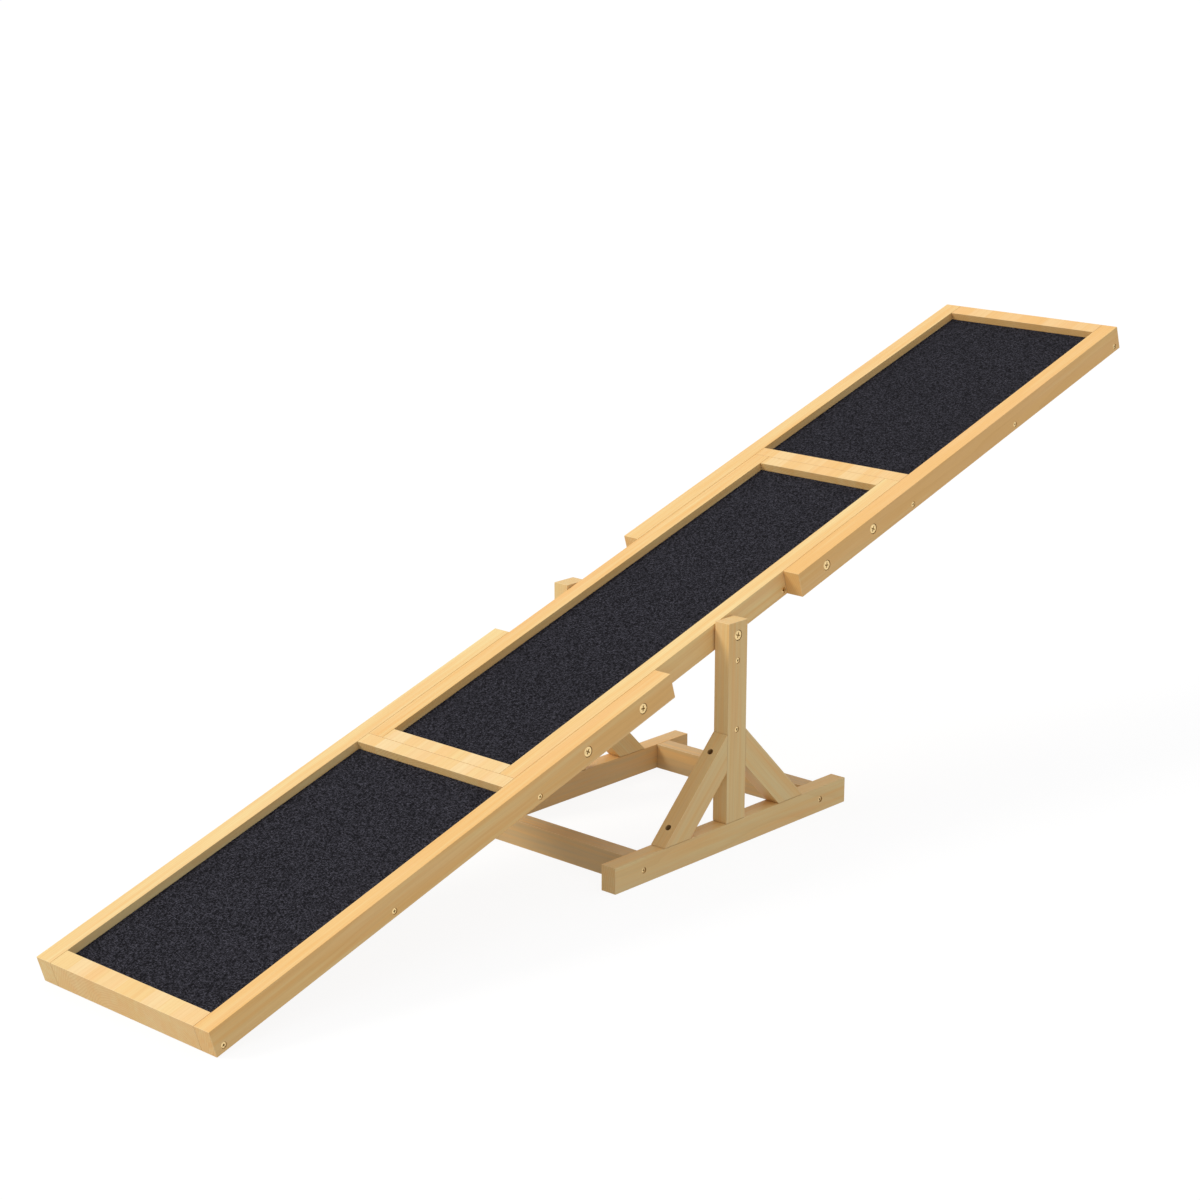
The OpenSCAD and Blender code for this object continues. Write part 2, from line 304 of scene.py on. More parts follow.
    @staticmethod
    def join(pieces: Sequence[Piece]) -> Piece:
        """Joins pieces into the first one.

        Args:
            pieces: The pieces.

        Returns:
            The first piece.
        """
        Bench.pick(*pieces)
        if len(pieces) > 1:
            bpy.ops.object.join()
        return pieces[0]

    @staticmethod
    def smooth(piece: Piece, angle: float = 40) -> None:
        """Shades the rounded edges smooth and keeps the broad faces flat.

        Args:
            piece: The piece.
            angle: Sharpest edge in degrees that is shaded smooth.
        """
        Bench.pick(piece)
        bpy.ops.object.shade_smooth_by_angle(angle=math.radians(angle))
        Bench.modify(piece, "WEIGHTED_NORMAL", keep_sharp=True, weight=100)

    @staticmethod
    def tag(piece: Piece, name: str, value: float | Callable[[Face], float]) -> None:
        """Writes a number on each face of a piece.

        Args:
            piece: The piece.
            name: Name of the attribute.
            value: The number, or what gives it for a face.
        """
        values = [value(face) if callable(value) else value for face in piece.data.polygons]
        attribute = piece.data.attributes.new(name, "FLOAT", "FACE")
        attribute.data.foreach_set("value", values)

    @staticmethod
    def hand_over(piece: Piece, body: Body, node: str, slot: str, material: Material) -> Piece:
        """Gives a finished piece its material and its place in the frame.

        Args:
            piece: The finished piece.
            body: The body that it rides on.
            node: The CAD node that it replaces.
            slot: The record's material slot. It is not used.
            material: Its material.

        Returns:
            The piece.
        """
        if body is Body.BOARD:
            Bench.place(piece, BoardLean().matrix())
        piece.data.materials.clear()
        piece.data.materials.append(material)
        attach(piece, body.value)
        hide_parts(node)
        return piece


@dataclass(frozen=True)
class BoardLean:
    """How the board leans: about its pivot, until its low tip's lower edge meets the floor."""

    pivot_z: float = 281.0
    tip_u: float = 900.0
    below_pivot: float = 16.0

    def angle(self) -> float:
        """The board's slope in radians."""
        reach = math.hypot(self.tip_u, self.below_pivot)
        return math.asin(self.pivot_z / reach) - math.atan2(self.below_pivot, self.tip_u)

    def matrix(self) -> Matrix:
        """Carries a piece from the level board to the leaning one."""
        lift = Matrix.Translation((0, 0, self.pivot_z * MM))
        return lift @ Matrix.Rotation(-self.angle(), 4, "Y")


# ---- shader nodes


def maths(operation: str, reflected: bool = False) -> Callable[..., "Signal"]:
    """Makes a method of Signal that adds a Math node.

    Args:
        operation: The node's operation.
        reflected: Whether the signal is the node's last input instead of its first.

    Returns:
        The method.
    """

    def method(self: "Signal", *others: "Input") -> "Signal":
        """The result of the operation on this signal and the others."""
        values = enumerate((*others, self) if reflected else (self, *others))
        return self.recipe.node("ShaderNodeMath", {"operation": operation}, dict(values))

    return method


class Signal:
    """A value that varies over a surface, with Python's operators.

    Its fraction is what it is above a whole number. At_least gives the larger of two values, and
    above gives 1 where it is above the other, or else 0.
    """

    __add__ = __radd__ = maths("ADD")
    __mul__ = __rmul__ = maths("MULTIPLY")
    __sub__, __rsub__ = maths("SUBTRACT"), maths("SUBTRACT", reflected=True)
    __truediv__, __rtruediv__ = maths("DIVIDE"), maths("DIVIDE", reflected=True)
    __pow__, __rpow__ = maths("POWER"), maths("POWER", reflected=True)
    floor, fraction, sine = maths("FLOOR"), maths("FRACT"), maths("SINE")
    at_least, above = maths("MAXIMUM"), maths("GREATER_THAN")

    def __init__(self, recipe: "Recipe", socket: bpy.types.NodeSocket | None) -> None:
        """Keeps the socket, and the recipe that adds its nodes."""
        self.recipe = recipe
        self.socket = socket


Input = Union[Signal, float, Sequence[float]]


class Recipe:
    """A material, or a world, in the making. All its nodes come from its node method."""

    def __init__(self, name: str, world: bool = False) -> None:
        """Starts it without nodes.

        Args:
            name: Its name.
            world: Whether it is a world.
        """
        self.output = "ShaderNodeOutputWorld" if world else "ShaderNodeOutputMaterial"
        self.owner = (bpy.data.worlds if world else bpy.data.materials).new(name)
        self.owner.use_nodes = True
        self.tree = self.owner.node_tree
        self.tree.nodes.clear()

    def node(
        self,
        kind: str,
        settings: Mapping[str, object] | None = None,
        inputs: Mapping[int | str, Input] | None = None,
        output: int | str = 0,
    ) -> Signal:
        """Adds a node, sets it and feeds it.

        Args:
            kind: The node's type.
            settings: Its properties. "stops" are the places and greys of a ramp.
            inputs: A value or a signal for each of its sockets that is used.
            output: The socket that is returned, where the node has one.

        Returns:
            The signal at that socket.
        """
        node = self.tree.nodes.new(kind)
        for name, value in (settings or {}).items():
            if name == "stops":
                self._set_stops(node.color_ramp, value)
            else:
                setattr(node, name, value)
        for key, value in (inputs or {}).items():
            socket = node.inputs[key]
            if isinstance(value, Signal):
                self.tree.links.new(value.socket, socket)
            else:
                socket.default_value = (*value, 1.0) if socket.type == "RGBA" else value
        return Signal(self, node.outputs[output] if node.outputs else None)

    @staticmethod
    def _set_stops(ramp: bpy.types.ColorRamp, stops: Outline) -> None:
        """Sets a ramp's stops, with sharp steps between them.

        Args:
            ramp: The ramp.
            stops: A place and a grey for each.
        """
        ramp.interpolation = "CONSTANT"
        while len(ramp.elements) < len(stops):
            ramp.elements.new(1.0)
        for element, (place, grey) in zip(ramp.elements, stops):
            element.position = place
            element.color = (grey, grey, grey, 1)

    def attribute(self, name: str, output: str = "Fac") -> Signal:
        """Reads one of the piece's own attributes."""
        return self.node("ShaderNodeAttribute", {"attribute_name": name}, output=output)

    def split(self, vector: Signal) -> list[Signal]:
        """The three numbers of a vector."""
        first = self.node("ShaderNodeSeparateXYZ", inputs={0: vector})
        return [Signal(self, socket) for socket in first.socket.node.outputs]

    def noise(
        self, place: Signal, scale: Point = (1, 1, 1), detail: float = 2, roughness: float = 0.5
    ) -> Signal:
        """Smooth noise from 0 to 1.

        Args:
            place: Where it is read.
            scale: How many features it has in one unit along each axis.
            detail: How many layers of finer noise it has.
            roughness: How strong these are.

        Returns:
            The noise.
        """
        inputs = {0: place, 1: scale}
        place = self.node("ShaderNodeVectorMath", {"operation": "MULTIPLY"}, inputs)
        inputs = {"Vector": place, "Scale": 1.0, "Detail": detail, "Roughness": roughness}
        return self.node("ShaderNodeTexNoise", {"noise_dimensions": "3D"}, inputs)

    def blend(self, amount: Input, first: Input, second: Input) -> Signal:
        """A colour between two others."""
        inputs = {0: amount, 6: first, 7: second}
        return self.node("ShaderNodeMix", {"data_type": "RGBA"}, inputs, 2)

    def bump(self, height: Signal, depth: float, strength: float) -> Signal:
        """The normal of a surface with relief.

        Args:
            height: Relief from 0 to 1.
            depth: Its full depth in millimetres.
            strength: How much of it shows.

        Returns:
            The normal.
        """
        inputs = {"Height": height, "Distance": depth * MM, "Strength": strength}
        return self.node("ShaderNodeBump", inputs=inputs)

    def finish(self, **sockets: Input) -> Material:
        """Feeds the Principled shader and ends the material.

        Args:
            sockets: Values or signals of its sockets, named with _ for a space.

        Returns:
            The material.
        """
        named = {name.replace("_", " "): value for name, value in sockets.items()}
        return self.end(self.node("ShaderNodeBsdfPrincipled", inputs=named))

    def end(self, surface: Signal) -> Material | bpy.types.World:
        """Links a surface to the output and returns the material or world."""
        self.node(self.output, inputs={"Surface": surface})
        return self.owner


# ---- finishes


@dataclass(frozen=True)
class PlanedTimber:
    """Pale honey fir, planed and waxed: fine fibres, faint growth rings and satin light.

    It reads these attributes of a timber: grain, its place in the timber's own axes with the
    fibre first and the pith at zero; pale, how light the timber is; grey, how grey it is, partly
    weathering and partly painted shade; staves, how much its staves differ, where it is sawn from
    a board glued up of them; cut_end and eased, which are 1 on its ends and on its rounded edges,
    where paler wear and a painted highlight go along the edges; and bore, which is 1 in its holes,
    where painted shade goes.
    """

    honey: Point = (0.862, 0.515, 0.180)
    straw: Point = (0.895, 0.690, 0.325)
    bleached: Point = (0.910, 0.700, 0.385)
    amber: Point = (0.640, 0.330, 0.100)
    peach: Point = (0.885, 0.550, 0.240)
    weathered_and_shaded: Point = (0.565, 0.420, 0.230)
    end_grain: Point = (0.680, 0.400, 0.150)
    # Paler wear and a painted highlight along the eased edges.
    worn_edge_and_highlight: Point = (0.930, 0.740, 0.420)
    # Colour of the painted shade inside the holes.
    shade: Point = (0.200, 0.095, 0.022)
    fibres: Point = (16, 620, 620)
    streaks: Point = (5, 150, 150)
    blotches: Point = (3, 26, 26)
    rosy_parts: Point = (4.1, 44, 44)
    ring_pitch: float = 3.4
    ring_wander: float = 16.0
    blotch_depth: float = 0.9
    streak_depth: float = 1.7
    glued_calm: float = 0.85
    stave_depth: float = 0.8
    stave_pith: float = 110.0
    board_width: float = 300.0
    staves: Outline = (
        (-150, 0.50), (-104, 0.75), (-88, 0.30), (-63, 0.90), (-36, 0.05),
        (10, 0.55), (40, 0.25), (64, 0.95), (93, 0.05),
    )

    def mix(self) -> Material:
        """Makes the material."""
        recipe = Recipe("planed_fir")
        grain = recipe.attribute("grain", "Vector")
        _, across, through = recipe.split(grain)
        glued = recipe.attribute("staves")
        stave = self._stave(recipe, across) * glued
        fibre = recipe.noise(grain, self.fibres, 3, 0.6)
        streak = recipe.noise(grain, self.streaks)
        blotch = recipe.noise(grain, self.blotches)
        rosy = recipe.noise(grain, self.rosy_parts, 1)
        ring = self._ring(recipe, grain, across, through + stave * (self.stave_pith * MM))
        lightness = recipe.attribute("pale") + (blotch - 0.5) * self.blotch_depth
        depth = self.streak_depth - glued * self.glued_calm
        lightness = lightness + (streak - 0.5) * depth
        # Grey: partly weathering, partly painted shade on the base timbers under the board.
        weathering_and_shade = recipe.attribute("grey") * ((streak - 0.5) * 1.9 + (blotch - 0.5) * 1.3 + 1)
        base = recipe.blend(lightness, self.honey, self.straw)
        for amount, tone in (
            (stave * glued * self.stave_depth, self.bleached),
            ((rosy - 0.45) * 1.8, self.peach),
            (ring * 0.14 + (fibre - 0.45) * 0.38, self.amber),
            (weathering_and_shade, self.weathered_and_shaded),
            (recipe.attribute("cut_end") * (0.14 + ring * 0.3), self.end_grain),
            # Eased edges: paler wear and a painted highlight along them.
            (recipe.attribute("eased") * 0.3, self.worn_edge_and_highlight),
            # Painted shade inside the holes.
            (recipe.attribute("bore") * (0.4 + fibre * 0.5), self.shade),
        ):
            base = recipe.blend(amount, base, tone)
        return recipe.finish(
            Base_Color=base,
            Roughness=0.46 + fibre * 0.12 + ring * 0.05,
            Specular_IOR_Level=0.28,
            Normal=recipe.bump(fibre * 0.7 + ring * 0.3, 0.12, 0.5),
        )

    def _stave(self, recipe: Recipe, across: Signal) -> Signal:
        """How pale the stave is at a place across the board, from 0 to 1.

        Args:
            recipe: The material in the making.
            across: Place across the board in metres.

        Returns:
            The stave's paleness.
        """
        stops = [(place / self.board_width + 0.5, pale) for place, pale in self.staves]
        place = across / (self.board_width * MM) + 0.5
        return recipe.node("ShaderNodeValToRGB", {"stops": stops}, {"Fac": place})

    def _ring(self, recipe: Recipe, grain: Signal, across: Signal, through: Signal) -> Signal:
        """Growth rings round the pith: 0 in early wood, rising to 1 at the end of each year.

        Args:
            recipe: The material in the making.
            grain: Place in the timber's own axes.
            across: Its second number.
            through: Its third number.

        Returns:
            The rings.
        """
        wobble = recipe.noise(grain, (2.2, 14, 14)) * (self.ring_wander * MM)
        radius = (across * across + through * through) ** 0.5
        return ((radius + wobble) / (self.ring_pitch * MM)).fraction() ** 2.5


@dataclass(frozen=True)
class PanelPlywood:
    """Plain plywood: a broad rotary-cut figure on its faces and bare plies round its edges."""

    face: Point = (0.640, 0.420, 0.175)
    figure: Point = (0.440, 0.255, 0.090)
    fibres: Point = (26, 700, 700)
    figures: Point = (3.2, 11, 11)
    lines: float = 34.0
    line_depth: float = 0.35
    ply: float = 1.5

    def mix(self) -> Material:
        """Makes the material."""
        recipe = Recipe("plain_plywood")
        grain = recipe.attribute("grain", "Vector")
        through = recipe.split(grain)[2]
        fibre = recipe.noise(grain, self.fibres, 3, 0.6)
        line = ((recipe.noise(grain, self.figures) * self.lines).fraction() - 0.5) * 2
        plies = (through / (self.ply * MM * 2)).fraction().above(0.5)
        amount = (line * line) ** 3 * self.line_depth + (fibre - 0.5) * 0.5
        base = recipe.blend(amount, self.face, self.figure)
        edge = recipe.attribute("cut_end") * plies
        return recipe.finish(
            Base_Color=recipe.blend(edge * 0.5, base, self.figure),
            Roughness=0.62 + fibre * 0.15,
            Normal=recipe.bump(fibre, 0.15, 0.5),
        )


@dataclass(frozen=True)
class WovenGrip:
    """Charcoal carpet in a plain weave of slubby yarns, mapped in metres on its flat cut.

    It reads one attribute of a mat: pale, how light its yarns are, which is painted light from
    mat to mat: lighter on the low mat and darker on the high one.
    """

    along_pitch: float = 1.10
    across_pitch: float = 1.20
    slubs: float = 240.0
    slub_steps: Span = (7.31, 5.77)
    yarn_depth: float = 0.355
    fuzz_depth: float = 0.33
    ground: float = 0.02
    lump_depth: float = 0.1
    nap_depth: float = 1.3
    # Colour of the painted shade between the yarns.
    gap_shade: Point = (0.0040, 0.0038, 0.0048)
    yarn: Point = (0.1580, 0.1560, 0.1970)

    def mix(self) -> Material:
        """Makes the material."""
        recipe = Recipe("woven_grip")
        cut = recipe.node("ShaderNodeUVMap", {"uv_map": "flat_cut"})
        drift = recipe.noise(cut, (95, 95, 0))
        sway = recipe.noise(cut, (-88, 103, 0))
        across, along, _ = recipe.split(cut)
        warp = across / (self.across_pitch * MM) + drift
        weft = along / (self.along_pitch * MM) + sway
        ends, picks = warp.floor(), weft.floor()
        over = self._float_shading(weft, ends, 0.0) * self._crown_shading(warp)
        under = self._float_shading(warp, picks, 1.0) * self._crown_shading(weft)
        over_slub = self._slub(recipe, along * self.slubs, ends * self.slub_steps[0])
        under_slub = self._slub(recipe, across * self.slubs, picks * self.slub_steps[1] + 40)
        # The yarns' rise is painted as light and their sides and dips as shade; the yarns that run
        # along the board are painted darker, as if lit less.
        shade = (over * over_slub * 0.8).at_least(under * under_slub)
        fuzz = recipe.noise(cut, (2600, 2600, 0)) - 0.5
        lump = recipe.noise(cut, (80, 80, 0)) - 0.5
        nap = recipe.noise(cut, (1050, 1050, 0), 1) - 0.5
        shade = shade * self.yarn_depth + fuzz * self.fuzz_depth + self.ground
        shade = shade * (1 + lump * self.lump_depth) * (1 + nap * self.nap_depth)
        return recipe.finish(
            Base_Color=recipe.blend(shade * recipe.attribute("pale"), self.gap_shade, self.yarn),
            Roughness=0.9,
            Specular_IOR_Level=0.03,
            Normal=recipe.bump(over.at_least(under) * 0.8 + fuzz * 0.4, 0.5, 0.5),
        )

    @staticmethod
    def _float_shading(travel: Signal, yarn: Signal, start: float) -> Signal:
        """How far a yarn stands out as it passes over and under the yarns that cross it, also
        painted as light where it rises and as shade where it dips.
        """
        return 0.6 + ((travel + yarn + start) * math.pi).sine() * 0.4

    @staticmethod
    def _crown_shading(place: Signal) -> Signal:
        """The round back of a yarn, from 0 at its sides to 1, also painted as a highlight on its
        crown and as shade at its sides.
        """
        return (place.fraction() * math.pi).sine() ** 0.6

    @staticmethod
    def _slub(recipe: Recipe, travel: Signal, yarn: Signal) -> Signal:
        """Bright and dark stretches along one yarn."""
        place = recipe.node("ShaderNodeCombineXYZ", inputs={0: travel, 1: yarn})
        return ((recipe.noise(place, detail=1) - 0.5) * 8 + 0.30).at_least(0)


@dataclass(frozen=True)
class Plated:
    """Plated steel hardware, satin, with fine marks from its making.

    It reads one attribute of a fastener, which paints shade on it: most in its recess and less
    on its rim.
    """

    plating: Plating
    tint: Point
    roughness: float
    # Colour of the painted shade in recess and rim.
    painted_shade: Point = (0.230, 0.115, 0.012)
    marks: Point = (900, 900, 4200)
    mottles_and_sheens: Point = (340, 340, 340)
    dim_patch_share: float = 0.6

    def mix(self) -> Material:
        """Makes the material."""
        recipe = Recipe(f"plated_{self.plating.value}")
        place = recipe.node("ShaderNodeTexCoord", output="Object")
        marks = recipe.noise(place, self.marks, 3, 0.6)
        # Lighter and darker patches of the tint: partly mottled plating, partly painted patchy
        # highlights.
        mottle_and_sheen = recipe.noise(place, self.mottles_and_sheens)
        dim_patch = tuple(value * self.dim_patch_share for value in self.tint)
        base = recipe.blend((mottle_and_sheen - 0.38) * 2.2, self.tint, dim_patch)
        # Painted shade in the recess and on the rim, which is also rougher there.
        soiled = recipe.attribute("soiled") * (0.7 + mottle_and_sheen * 0.5)
        return recipe.finish(
            Base_Color=recipe.blend(soiled, base, self.painted_shade),
            Metallic=1.0,
            Roughness=self.roughness + marks * 0.16 + soiled * 0.3,
            Normal=recipe.bump(marks, 0.03, 0.4),
        )


@dataclass(frozen=True)
class BeechDowel:
    """Plain beech, with short dark rays along its fibres."""

    wood: Point = (0.600, 0.380, 0.190)
    ray: Point = (0.360, 0.200, 0.085)
    fibres: Point = (620, 30, 620)
    rays: Point = (1300, 260, 1300)

    def mix(self) -> Material:
        """Makes the material."""
        recipe = Recipe("beech_dowel")
        place = recipe.node("ShaderNodeTexCoord", output="Object")
        fibre = recipe.noise(place, self.fibres, 3, 0.6)
        rays = recipe.noise(place, self.rays, 1).above(0.64)
        return recipe.finish(
            Base_Color=recipe.blend(rays * 0.5 + (fibre - 0.5) * 0.4, self.wood, self.ray),
            Roughness=0.55 + fibre * 0.1,
            Normal=recipe.bump(fibre, 0.1, 0.4),
        )


class Finishes:
    """The seesaw's materials, each made once."""

    def __init__(self) -> None:
        """Mixes every finish."""
        self.timber = PlanedTimber().mix()
        self.plywood = PanelPlywood().mix()
        self.grip = WovenGrip().mix()
        self.brassed = Plated(Plating.BRASSED, (0.950, 0.700, 0.340), 0.26).mix()
        self.zinc = Plated(Plating.ZINC, (0.560, 0.570, 0.590), 0.34).mix()
        self.beech = BeechDowel().mix()


# ---- studio


@dataclass
class Studio:
    """Camera, pale floor and soft light. Lengths here are in metres.

    The floor is a grey and a glow: one pair lights the seesaw, and the other is what is seen.
    """

    eye: Point = (-2.51273, -2.20688, 1.22297)
    yaw: float = 0.8314
    pitch: float = -0.2697
    roll: float = 0.0010
    lens: float = 80.947
    sensor: float = 36.0
    sight: Span = (0.05, 200.0)
    lamp_from: Point = (-0.58, 0.53, 0.62)
    lamp_strength: float = 1.63
    lamp_tint: Point = (1.0, 0.935, 0.815)
    lamp_width: float = 22.0
    horizon: float = 0.465
    zenith: float = 0.835
    sky_tint: Point = (0.99, 1.0, 1.05)
    lit_floor: Span = (0.30, 0.265)
    shown_floor: Span = (0.12, 0.90)
    floor_size: float = 60.0
    floor_drop: float = 0.0002

    def set_up(self) -> None:
        """Makes the camera, the light and the floor."""
        bpy.context.scene.view_settings.view_transform = "Standard"
        self._camera()
        self._lamp()
        self._sky()
        self._floor()

    def _camera(self) -> None:
        """Stands the camera where the seesaw is seen from."""
        data = bpy.data.cameras.new("camera")
        data.lens, data.sensor_width = self.lens, self.sensor
        data.clip_start, data.clip_end = self.sight
        camera = bpy.data.objects.new("camera", data)
        bpy.context.scene.collection.objects.link(camera)
        heading = Matrix.Rotation(-self.yaw, 4, "Z")
        tip = Matrix.Rotation(math.pi / 2 + self.pitch, 4, "X")
        turn = heading @ tip @ Matrix.Rotation(self.roll, 4, "Z")
        camera.matrix_world = Matrix.Translation(self.eye) @ turn
        bpy.context.scene.camera = camera

    def _lamp(self) -> None:
        """Hangs one broad, soft lamp behind the low end."""
        data = bpy.data.lights.new("soft_lamp", "SUN")
        data.energy, data.angle = self.lamp_strength, math.radians(self.lamp_width)
        data.color = self.lamp_tint
        lamp = bpy.data.objects.new("soft_lamp", data)
        bpy.context.scene.collection.objects.link(lamp)
        lamp.rotation_euler = Vector(self.lamp_from).to_track_quat("Z", "Y").to_euler()

    @staticmethod
    def _seen(recipe: Recipe) -> Signal:
        """1 for what the camera sees, straight or in metal or glass, or else 0.

        Args:
            recipe: The material or world that asks.

        Returns:
            1 or 0.
        """
        seen, glossy, clear = (
            recipe.node("ShaderNodeLightPath", output=f"Is {ray} Ray")
            for ray in ("Camera", "Glossy", "Transmission")
        )
        return seen.at_least(glossy).at_least(clear)

    def _sky(self) -> None:
        """Lights the room, most from overhead, and shows it white."""
        recipe = Recipe("pale_room", world=True)
        seen = self._seen(recipe)
        height = recipe.split(recipe.node("ShaderNodeTexCoord", output="Generated"))[2]
        inputs = {"Value": height, "To Min": self.horizon, "To Max": self.zenith}
        level = recipe.node("ShaderNodeMapRange", inputs=inputs)
        inputs = {
            "Color": recipe.blend(seen, self.sky_tint, (1, 1, 1)),
            "Strength": level * (1 - seen) + seen,
        }
        light = recipe.node("ShaderNodeBackground", inputs=inputs)
        bpy.context.scene.world = recipe.end(light)

    def _floor(self) -> None:
        """Lays a floor that looks white, keeps the seesaw's shadow and is open from below."""
        bpy.ops.object.select_all(action="DESELECT")
        bpy.ops.mesh.primitive_plane_add(size=self.floor_size, location=(0, 0, -self.floor_drop))
        floor = bpy.context.active_object
        floor.name = "pale_floor"
        recipe = Recipe("pale_floor")
        seen, lit = self._seen(recipe), self._floor_coat(recipe, *self.lit_floor)
        shown = self._floor_coat(recipe, *self.shown_floor)
        top = recipe.node("ShaderNodeMixShader", inputs={0: seen, 1: lit, 2: shown})
        path = recipe.node("ShaderNodeLightPath", output="Is Camera Ray")
        below = path * recipe.node("ShaderNodeNewGeometry", output="Backfacing")
        clear = recipe.node("ShaderNodeBsdfTransparent")
        surface = recipe.node("ShaderNodeMixShader", inputs={0: below, 1: top, 2: clear})
        floor.data.materials.append(recipe.end(surface))
        recipe.owner.cycles.emission_sampling = "NONE"

    @staticmethod
    def _floor_coat(recipe: Recipe, grey: float, glow: float) -> Signal:
        """A matt grey that also glows by itself.

        Args:
            recipe: The floor's material.
            grey: How pale it is.
            glow: How strongly it glows.

        Returns:
            The coat's shader.
        """
        matt = recipe.node("ShaderNodeBsdfDiffuse", inputs={"Color": (grey, grey, grey)})
        light = recipe.node("ShaderNodeEmission", inputs={"Strength": glow})
        return recipe.node("ShaderNodeAddShader", inputs={0: matt, 1: light})


# ---- fasteners and timbers


@dataclass(frozen=True)
class Station:
    """A point in a timber's face where a fastener goes in, and the way that the face looks."""

    at: Point
    facing: Point = (0, 1, 0)

    def mirrored(self, end: int, side: int) -> "Station":
        """The same station at another end or side of the seesaw.

        Args:
            end: 1 for the high end, -1 for the low one.
            side: 1 for the left side, -1 for the right one.

        Returns:
            The new station.
        """
        x, y, z = self.at
        along, across, up = self.facing
        return Station((x * end, y * side, z), (along * end, across * side, up))

    def matrix(self, spin: float = 0.0) -> Matrix:
        """Stands a fastener that is modelled at the origin, head up, in the face.

        Args:
            spin: Its turn about its own axis, in radians.

        Returns:
            The move.
        """
        turn = Vector((0, 0, 1)).rotation_difference(Vector(self.facing)).to_matrix().to_4x4()
        move = Matrix.Translation([value * MM for value in self.at])
        return move @ turn @ Matrix.Rotation(spin, 4, "Z")


@dataclass(frozen=True)
class Fastener:
    """A cross-recessed bolt or wood screw, and the hole that it needs.

    Recess is the reach of the cross, as a share of the head's diameter. Bar is half the width of
    the cross's bars, as such a share and a length on top. The painted shade is how dark rim and
    recess are painted, as shade.
    """

    head: Head
    shank_d: float
    length: float
    head_d: float
    head_h: float
    sink: float = 0.7
    counterbore: float = 0.0
    clear: float = 0.15
    seat_clear: float = 0.5
    seat_spare: float = 0.0
    recess: float = 0.33
    recess_depth: float = 0.7
    recess_taper: Span = (0.45, 0.6)
    bar: Span = (0.07, 0.1)
    painted_shade: Span = (0.5, 0.9)
    rim_facing: float = 0.7
    spare: float = 1.0
    hole_sides: int = 48

    def _top(self) -> float:
        """Height of the head's top, from the face."""
        return -self.counterbore - self.sink

    def _outline(self) -> Outline:
        """The fastener's own outline, from its point to the middle of its head."""
        top, shank, rim = self._top(), self.shank_d / 2, self.head_d / 2
        under, end = top - self.head_h, -self.counterbore - self.length
        if self.head is Head.FLAT:
            return [
                (shank - 0.6, end), (shank, end + 0.6), (shank, under), (rim - 0.2, under),
                (rim, under + 0.2), (rim, top - 0.6), (rim - 0.2, top - 0.25), (rim - 0.7, top),
                (rim - 1.6, top), (rim - 2.0, top - 0.12), (rim - 3.2, top - 0.12),
            ]
        return [
            (0.2, end), (shank, end + 5), (shank, under), (rim - 0.1, top - 0.55),
            (rim, top - 0.45), (rim - 0.35, top - 0.2), (rim - 0.9, top - 0.04),
            (rim - 1.7, top + 0.06),
        ]

    def _hole(self) -> Outline:
        """The outline of its hole, from below its point to above the face."""
        top, bore = self._top(), self.shank_d / 2 + self.clear
        under, end = top - self.head_h, -self.counterbore - self.length - self.spare
        seat, mouth = self.head_d / 2 + self.seat_clear, self.head_d / 2 + self.clear
        if self.head is Head.FLAT:
            floor = under - self.seat_spare
            return [(bore, end), (bore, floor), (seat, floor), (seat, self.spare)]
        steps = [(bore, end), (bore, under), (mouth, top)]
        if self.counterbore:
            steps += [(mouth, -self.counterbore), (seat, -self.counterbore)]
        return steps + [(steps[-1][0], self.spare)]

    def model(self) -> Piece:
        """Turns the fastener, paints shade on its rim and cuts the cross into its head."""
        piece = Bench.turn("fastener", self._outline())
        low = (self._top() - self.head_h) * MM
        Bench.tag(piece, "soiled", lambda face: (
            self.painted_shade[0] if face.center.z > low and face.normal.z < self.rim_facing else 0.0
        ))
        for turn in (0, 90):
            Bench.cut(piece, self._recess(turn))
        return piece

    def _recess(self, turn: float) -> Piece:
        """One bar of the cross, narrower towards its bottom.

        Args:
            turn: Its turn about the fastener's axis, in degrees.

        Returns:
            The cutter.
        """
        top, reach = self._top(), self.head_d * self.recess
        half, depth = self.head_d * self.bar[0] + self.bar[1], self.head_h * self.recess_depth
        spans = ((-reach, reach), (-half, half), (top - depth, top + self.spare))
        bar = Bench.block("recess", spans)
        with Bench.editing(bar, Bench.looking(bar, -1)):
            bpy.ops.transform.resize(value=(*self.recess_taper, 1), center_override=(0, 0, 0))
        Bench.place(bar, Matrix.Rotation(math.radians(turn), 4, "Z"))
        # The recess's faces carry painted shade.
        Bench.tag(bar, "soiled", self.painted_shade[1])
        return bar

    def cutter(self, station: Station) -> Piece:
        """A piece with the shape of the hole, standing at a station.

        Args:
            station: The station.

        Returns:
            The cutter.
        """
        piece = Bench.turn("hole", self._hole(), self.hole_sides)
        Bench.place(piece, station.matrix())
        Bench.tag(piece, "bore", 1.0)
        return piece


Holes = tuple[tuple[Fastener, Station], ...]


